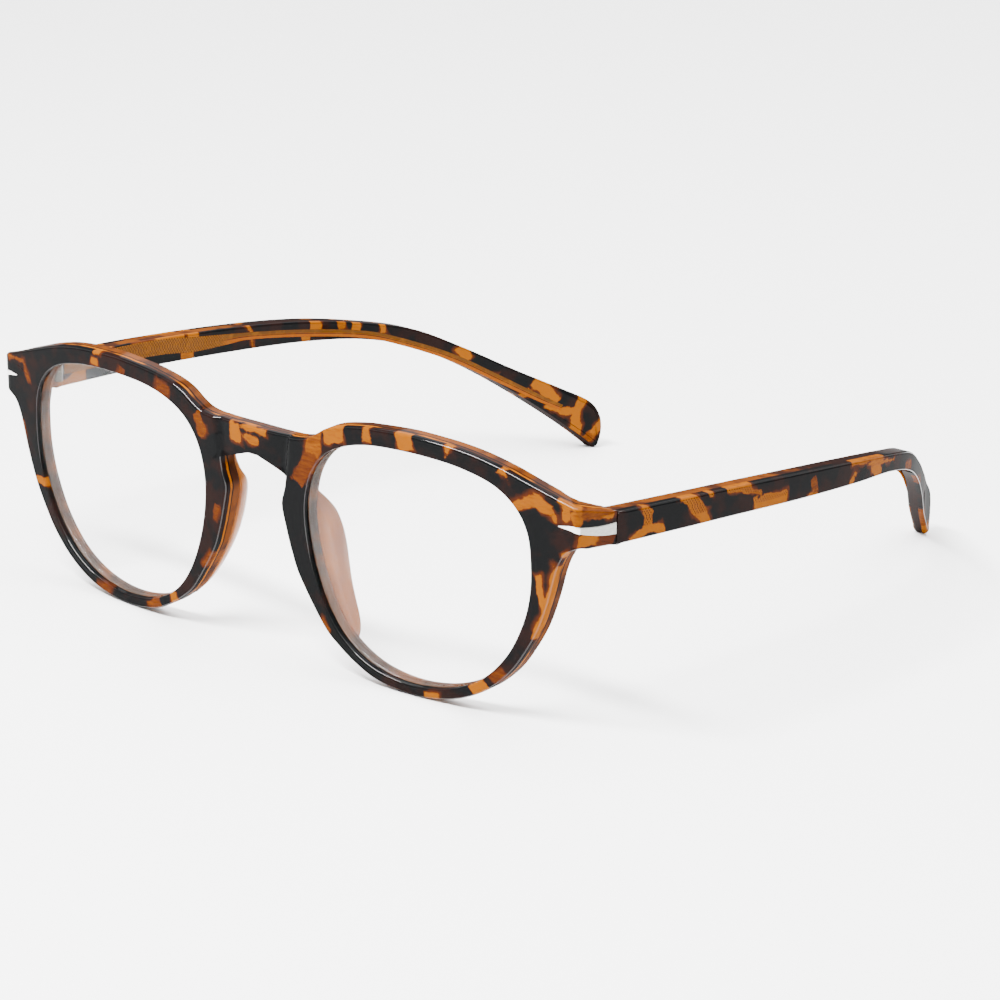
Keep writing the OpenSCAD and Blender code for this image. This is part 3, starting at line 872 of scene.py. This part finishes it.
def lens_piece(side):
    ring = spline(LENS_EDGE, closed=True, steps=12)
    inward = side_normals(ring, closed=True)
    middle = np.array(LENS_MIDDLE, float)
    points, edge = [], []

    def add(xz, depth, at_edge):
        edge.extend([at_edge] * len(xz))
        return add_row(points, xz, depth)

    def face(depth):
        """Rows from the edge in the groove to the middle point."""
        rows = [add(ring + inward * inset, depth, 1.0)
                for inset in (-LENS_IN_GROOVE, 0, EDGE_LOOK)]
        inner = ring + inward * CLEAR_START
        for k in range(LENS_ROWS):
            rows.append(add(inner + (middle - inner) * k / LENS_ROWS, depth, 0.0))
        rows.append(np.repeat(add([middle], depth, 0.0), len(ring)))
        return rows

    front, back = face(LENS_FRONT), face(LENS_BACK)
    apex = add(ring - inward * (LENS_IN_GROOVE + LENS_BEVEL), (LENS_FRONT + LENS_BACK) / 2, 1.0)
    faces = ring_faces(np.array(front[::-1] + [apex] + back), flip=side < 0)
    x, depth, z = np.array(points)[:, [0, 2, 1]].T
    points = np.stack([x * side, wrap(x) + depth, z], 1)
    name = SIDE_NAMES[side]
    piece = make_piece(f"lens_glass_{name}", front_to_row(points), faces, "front",
                       {"edge": edge})
    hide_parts(f"lens_{name}")
    return piece


# --------------------
# Trims: a wedge laid round the corner of each end piece

# Along the unrolled face, the lower edge and the upper edge
TRIM_WEDGE = [
    (65.3, 9.8, 9.92), (66.3, 9.58, 10.08), (67.6, 9.36, 10.24), (69, 8.9, 10.1),
    (72.3, 7.75, 9.35), (75.3, 6.92, 8.85), (78.35, 6.35, 8.6),
]
TRIM_PROUD = 0.05
# The share of the way from the lower edge to the upper edge, and the depth there
TRIM_PROFILE = [
    (0, 0.25), (0, 0.02), (0.04, -0.035), (0.12, -TRIM_PROUD), (0.5, -TRIM_PROUD),
    (0.88, -TRIM_PROUD), (0.96, -0.035), (1, 0.02), (1, 0.25),
]


def trim_piece(side):
    line = spline(TRIM_WEDGE, closed=False, steps=16)
    rows = []
    for share, depth in TRIM_PROFILE:
        z = line[:, 1] + (line[:, 2] - line[:, 1]) * share
        rows.append(place_front(line[:, 0], z, np.full(len(z), depth)))
    points, faces = tube(rows, flip=side > 0)
    points[:, 0] *= side
    name = SIDE_NAMES[side]
    along = np.tile(line[:, 0], len(rows))
    piece = make_piece(f"trim_{name}", front_to_row(points), faces, "front",
                       {"along": along})
    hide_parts(f"end_trim_{name}")
    return piece


# --------------------
# Materials

# Gloss is a clear coat, thin on the flat faces and full on the facets at their edges
COAT_ROUGHNESS = 0.04
FACE_COAT, EDGE_COAT = 0.07, 0.6
NEAR_BLACK = (0.0022, 0.0024, 0.0026)
DARK_BROWN = (0.0075, 0.003, 0.0024)
RED_BROWN = (0.04, 0.008, 0.0012)
DULL_AMBER = (0.085, 0.02, 0.0)
AMBER = (0.16, 0.045, 0.0)
SEAM_AMBER = (0.19, 0.052, 0.0)
BACK_AMBER = (0.085, 0.022, 0.002)
BACK_BROWN = (0.024, 0.0075, 0.0035)
# The plate with its dots fades out between these places along the core, in falling order
PLATE_END = (48, 44)


class Nodes:
    """Short calls that add nodes to one material and link them."""

    def __init__(self, name):
        self.mat = bpy.data.materials.new(name)
        self.mat.use_nodes = True
        self.tree = self.mat.node_tree
        self.shader = self.tree.nodes["Principled BSDF"]

    def put(self, socket, value):
        if isinstance(value, bpy.types.NodeSocket):
            self.tree.links.new(value, socket)
        elif isinstance(value, tuple) and len(value) == 3 and socket.type == "RGBA":
            socket.default_value = (*value, 1)
        else:
            socket.default_value = value

    def new(self, kind, inputs, **settings):
        """The outputs of a new node, whose inputs get values or links."""
        node = self.tree.nodes.new("ShaderNode" + kind)
        for key, value in settings.items():
            setattr(node, key, value)
        for key, value in inputs.items():
            self.put(node.inputs[key], value)
        return node.outputs

    def attribute(self, name):
        return self.new("Attribute", {}, attribute_name=name)["Fac"]

    def place(self):
        """Object coordinates in millimetres."""
        coord = self.new("TexCoord", {})["Object"]
        return self.new("VectorMath", {0: coord, "Scale": 1 / MM}, operation="SCALE")[0]

    def stretched(self, vector, factors):
        """The vector, scaled along each axis."""
        return self.new("VectorMath", {0: vector, 1: factors}, operation="MULTIPLY")[0]

    def noise(self, vector, scale, detail=2.0, rough=0.5):
        inputs = {"Vector": vector, "Scale": scale, "Detail": detail, "Roughness": rough}
        return self.new("TexNoise", inputs)["Fac"]

    def math(self, operation, a, b=0.0, c=0.0):
        return self.new("Math", {0: a, 1: b, 2: c}, operation=operation)[0]

    def step(self, value, low, high, to_low=0.0, to_high=1.0):
        """A soft rise from to_low at low to to_high at high."""
        inputs = {"Value": value, "From Min": low, "From Max": high, "To Min": to_low,
                  "To Max": to_high}
        return self.new("MapRange", inputs, interpolation_type="SMOOTHSTEP")["Result"]

    def mix(self, share, a, b):
        """The colour a, with a share of the colour b."""
        return self.new("Mix", {"Factor": share, 6: a, 7: b}, data_type="RGBA")[2]

    def bump(self, height, distance, strength=1.0):
        inputs = {"Distance": distance, "Strength": strength, "Height": height}
        return self.new("Bump", inputs)["Normal"]

    def finish(self, colour, roughness, normal=None, metallic=0.0, specular=0.5, alpha=1.0,
               coat=0.0):
        s = self.shader.inputs
        self.put(s["Base Color"], colour)
        self.put(s["Roughness"], roughness)
        self.put(s["Alpha"], alpha)
        self.put(s["Coat Weight"], coat)
        s["Coat Roughness"].default_value = COAT_ROUGHNESS
        s["Metallic"].default_value = metallic
        s["Specular IOR Level"].default_value = specular
        if normal is not None:
            self.put(s["Normal"], normal)
        return self.mat


def tortoise_colour(n, place):
    """Dark acetate with amber patches of uneven edges, and how far inside one it is."""
    bend = n.math("SUBTRACT", n.noise(place, 0.3, 2.0), 0.5)
    ragged = n.math("SUBTRACT", n.noise(place, 1.5, 3.0, 0.6), 0.5)
    inside = n.math("MULTIPLY_ADD", bend, 1.9, n.attribute("inside"))
    inside = n.math("MULTIPLY_ADD", ragged, 0.55, inside)
    cloud = n.noise(place, 0.14, 3.0, 0.6)
    dark = n.mix(n.step(cloud, 0.44, 0.62), NEAR_BLACK, DARK_BROWN)
    streaks = n.noise(n.stretched(place, (0.3, 0.3, 1.7)), 1.6, 4.0, 0.6)
    tone = n.math("MULTIPLY_ADD", n.math("SUBTRACT", streaks, 0.5), 0.9, n.attribute("tone"))
    warm = n.mix(n.step(tone, 0.1, 0.6), RED_BROWN, DULL_AMBER)
    warm = n.mix(n.step(tone, 0.45, 0.95), warm, AMBER)
    soft = n.step(n.noise(place, 0.25, 1.0), 0.4, 0.6, -0.95, -0.2)
    colour = n.mix(n.step(inside, soft, 0.0), dark, RED_BROWN)
    return n.mix(n.step(inside, -0.12, 0.14), colour, warm), inside


def gloss(n, low, high):
    """Thin gloss on the faces, and full gloss on the facet between two depths."""
    depth = n.attribute("depth")
    blur = (high - low) / 4
    facet = n.math("MULTIPLY", n.step(depth, low - blur, low + blur),
                   n.step(depth, high + blur, high - blur))
    return n.math("MULTIPLY_ADD", facet, EDGE_COAT, FACE_COAT)


def polish(n, place):
    """The fine unevenness that polishing leaves, as roughness and bump."""
    smear = n.noise(place, 0.35, 4.0, 0.65)
    roughness = n.step(smear, 0.3, 0.75, 0.03, 0.09)
    ripple = n.noise(place, 0.22, 1.0)
    return roughness, n.bump(ripple, 0.00006, 0.5)


def front_acetate():
    n = Nodes("front_acetate")
    place = n.place()
    face, _ = tortoise_colour(n, place)
    wobble = n.math("MULTIPLY_ADD", n.noise(place, 0.3), 0.3, n.attribute("depth"))
    cloud = n.noise(n.stretched(place, (1, 0.6, 1)), 0.2, 2.0)
    back = n.mix(n.step(cloud, 0.4, 0.62), BACK_AMBER, BACK_BROWN)
    seam = n.mix(n.step(n.noise(place, 0.12), 0.42, 0.58), BACK_BROWN, SEAM_AMBER)
    colour = n.mix(n.step(wobble, 1.25, 1.35), face, seam)
    colour = n.mix(n.step(wobble, 1.7, 1.85), colour, NEAR_BLACK)
    colour = n.mix(n.step(wobble, 1.95, 2.2), colour, back)
    roughness, normal = polish(n, place)
    return n.finish(colour, roughness, normal, specular=0.0, coat=gloss(n, 0.08, 0.24))


def plate_dots(n, rate, low):
    """The rows of dots that are rolled into the core's plate."""
    off = n.math("ABSOLUTE", n.attribute("across"))
    beads = n.math("SINE", n.math("MULTIPLY", n.attribute("along"), rate))
    rows = n.math("SINE", n.math("MULTIPLY", off, 12.0))
    dots = n.step(n.math("MULTIPLY", beads, rows), low, 0.3)
    return dots, off


def temple_acetate():
    n = Nodes("temple_acetate")
    place = n.place()
    face, inside = tortoise_colour(n, place)
    # the plate's dots show through the amber patches
    dots, off = plate_dots(n, 9.0, 0.0)
    band = n.math("MULTIPLY", n.step(off, 1.05, 0.9), n.step(inside, 0.0, 0.4))
    on_plate = n.math("MULTIPLY", band, n.step(n.attribute("along"), *PLATE_END))
    shown = n.math("MULTIPLY", n.math("MULTIPLY", on_plate, dots), 0.75)
    face = n.mix(shown, face, DARK_BROWN)
    depth = n.math("MULTIPLY_ADD", n.noise(place, 0.3), 0.06, n.attribute("depth"))
    middle = n.math("MULTIPLY", n.step(depth, 0.36, 0.42), n.step(depth, 0.93, 0.87))
    cloud = n.noise(place, 0.2, 2.0)
    layer = n.mix(n.step(cloud, 0.42, 0.65), BACK_AMBER, BACK_BROWN)
    to_tip = n.math("MULTIPLY_ADD", cloud, 30.0, n.attribute("along"))
    layer = n.mix(n.step(to_tip, 55, 75), layer, DARK_BROWN)
    colour = n.mix(middle, face, layer)
    roughness, normal = polish(n, place)
    return n.finish(colour, roughness, normal, specular=0.0, coat=gloss(n, 0.015, 0.05))


def pad_acetate():
    n = Nodes("pad_acetate")
    place = n.place()
    cloud = n.noise(place, 0.14, 2.0)
    colour = n.mix(n.step(cloud, 0.35, 0.7), (0.21, 0.058, 0.004), (0.14, 0.034, 0.002))
    roughness, normal = polish(n, place)
    return n.finish(colour, roughness, normal, specular=0.15)


def core_metal():
    n = Nodes("core_metal")
    across = n.attribute("across")
    dots, _ = plate_dots(n, 8.4, -0.2)
    on_plate = n.step(n.attribute("along"), *PLATE_END)
    grooves = n.math("MULTIPLY", dots, on_plate)
    plate = n.mix(grooves, (0.115, 0.040, 0.003), (0.05, 0.016, 0.002))
    wire = n.mix(n.step(across, -0.15, 0.3), (0.15, 0.036, 0.001), (0.06, 0.022, 0.003))
    wire = n.mix(n.step(n.math("ABSOLUTE", n.math("ADD", across, 0.1)), 0.16, 0.06), wire,
                 (0.02, 0.007, 0.003))
    fleck = n.noise(n.place(), 0.5, 2.0)
    colour = n.mix(on_plate, wire, plate)
    colour = n.mix(n.step(fleck, 0.5, 0.75, 0.0, 0.35), colour, (0.17, 0.055, 0.002))
    return n.finish(colour, 0.3, n.bump(grooves, 0.00005), specular=0.0, coat=FACE_COAT)


def lens_glass():
    n = Nodes("lens_glass")
    edge = n.attribute("edge")
    smear = n.noise(n.place(), 0.05, 3.0)
    roughness = n.step(smear, 0.35, 0.7, 0.015, 0.04)
    colour = n.mix(n.step(edge, 0.4, 0.6), (0.93, 0.96, 0.97), (0.16, 0.14, 0.12))
    return n.finish(colour, roughness, specular=0.5, alpha=n.step(edge, 0.3, 0.7, 0.03, 0.22))


def brushed_grain(n, grain):
    """The brushing of a metal, stretched along the grain."""
    return n.noise(n.stretched(n.place(), grain), 3.0, 3.0)


def brushed_finish(n, colour, brushed, low, high):
    """Metal whose roughness follows its brushing, between low and high."""
    fine = n.noise(n.place(), 9.0, 1.0)
    roughness = n.step(brushed, 0.3, 0.7, low, high)
    return n.finish(colour, roughness, n.bump(fine, 0.00001, 0.6), metallic=1.0)


def trim_silver():
    n = Nodes("trim_silver")
    brushed = brushed_grain(n, (0.4, 0.4, 5))
    satin = n.mix(n.step(brushed, 0.3, 0.7), (0.33, 0.325, 0.30), (0.24, 0.235, 0.22))
    # the point of the wedge, in front of the corner, is painted much lighter: a painted highlight for the
    # light that it reflects there
    colour = n.mix(n.step(n.attribute("along"), 69.6, 69.2), satin, (0.78, 0.77, 0.75))
    return brushed_finish(n, colour, brushed, 0.25, 0.4)


def metal_painted_dark(name, colour, low, high, grain):
    """The metal of the hinges and screws, darker where the brushing is deeper. Its dark colour is painted
    shade, standing in for the dark surroundings that the bright metal reflects.
    """
    n = Nodes(name)
    brushed = brushed_grain(n, grain)
    deeper = tuple(c * 0.72 for c in colour)
    tone = n.mix(n.step(brushed, 0.3, 0.7, 0.0, 0.5), colour, deeper)
    return brushed_finish(n, tone, brushed, low, high)


def dress(obj, mat):
    obj.data.materials.clear()
    obj.data.materials.append(mat)


def build():
    """Every piece with its material; the hinges and screws keep their CAD shapes."""
    dress(front_piece(), front_acetate())
    shell, pad, core = temple_acetate(), pad_acetate(), core_metal()
    glass, trim = lens_glass(), trim_silver()
    # the hinges and screws get dark colours: painted shade for the dark surroundings that they reflect
    hinge = metal_painted_dark("hinge_silver", (0.07, 0.062, 0.05), 0.22, 0.36, (1, 1, 5))
    screw = metal_painted_dark("screw_steel", (0.045, 0.042, 0.037), 0.24, 0.4, (1, 1, 6))
    for side in SIDE_NAMES:
        dress(temple_piece(side), shell)
        dress(pad_piece(side), pad)
        dress(core_piece(side), core)
        dress(lens_piece(side), glass)
        dress(trim_piece(side), trim)
    for name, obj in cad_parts.items():
        if "screw" in name:
            dress(obj, screw)
        elif "hinge" in name:
            dress(obj, hinge)


build()

# --------------------
# Camera, light and floor

# The camera, in mm and in the front's own plane. It aims beside its target, by a shift to
# the right and up in the picture.
CAMERA_TURN = math.radians(42)
CAMERA_RISE = math.radians(19.38)
CAMERA_ROLL = math.radians(-1.31)
CAMERA_DISTANCE = 710.0
CAMERA_TARGET = (0, 36.1, 0)
AIM_SHIFT = (20.4, -8.6)
LENS_MM = 139.32
SENSOR_MM = 36
# The floor and the lights, in metres
FLOOR_HALF = 6.0
LIGHT_AIM = (0, 0, 0.02)


def make_camera():
    turn, rise, roll = CAMERA_TURN, CAMERA_RISE, CAMERA_ROLL
    back = np.array([math.sin(turn) * math.cos(rise), -math.cos(turn) * math.cos(rise),
                     math.sin(rise)])
    right = np.array([math.cos(turn), math.sin(turn), 0])
    up = np.cross(back, right)
    rolled_right = right * math.cos(roll) + up * math.sin(roll)
    rolled_up = up * math.cos(roll) - right * math.sin(roll)
    target = np.array(CAMERA_TARGET)
    place = target + back * CAMERA_DISTANCE
    aim = target + rolled_right * AIM_SHIFT[0] + rolled_up * AIM_SHIFT[1]
    lean = Matrix.Rotation(LEAN, 3, "X")
    place_row = Vector(front_to_row([place])[0])
    aim_row = Vector(front_to_row([aim])[0])
    forward = (aim_row - place_row).normalized()
    up_row = lean @ Vector(rolled_up)
    side = forward.cross(up_row).normalized()
    up_row = side.cross(forward)
    data = bpy.data.cameras.new("camera")
    data.lens = LENS_MM
    data.sensor_width = SENSOR_MM
    data.clip_start, data.clip_end = 0.01, 20
    cam = bpy.data.objects.new("camera", data)
    turned = Matrix((side, up_row, -forward)).transposed()
    cam.matrix_world = Matrix.Translation(place_row) @ turned.to_4x4()
    bpy.context.scene.collection.objects.link(cam)
    bpy.context.scene.camera = cam


def make_floor():
    mesh = bpy.data.meshes.new("floor")
    s = FLOOR_HALF
    mesh.from_pydata([(-s, -s, 0), (s, -s, 0), (s, s, 0), (-s, s, 0)], [], [(0, 1, 2, 3)])
    floor = bpy.data.objects.new("floor", mesh)
    bpy.context.scene.collection.objects.link(floor)
    n = Nodes("floor_white")
    dress(floor, n.finish((0.93, 0.93, 0.93), 0.7, specular=0.1))


def make_light(name, place, size, power):
    data = bpy.data.lights.new(name, "AREA")
    data.shape = "RECTANGLE"
    data.size, data.size_y = size
    data.energy = power
    lamp = bpy.data.objects.new(name, data)
    lamp.location = place
    ray = Vector(LIGHT_AIM) - Vector(place)
    lamp.rotation_euler = ray.to_track_quat("-Z", "Y").to_euler()
    bpy.context.scene.collection.objects.link(lamp)


make_camera()
make_floor()
make_light("top", (0.1, 0.1, 1.1), (1.4, 1.4), 46)
make_light("back", (-0.5, 0.9, 0.7), (0.9, 0.5), 11)
make_light("strip", (-0.05, -0.47, 0.7), (0.58, 0.1), 28)
world = bpy.data.worlds.new("studio")
bpy.context.scene.world = world
world.use_nodes = True
sky = world.node_tree.nodes["Background"].inputs
sky["Color"].default_value = (1, 1, 1, 1)
sky["Strength"].default_value = 1.0
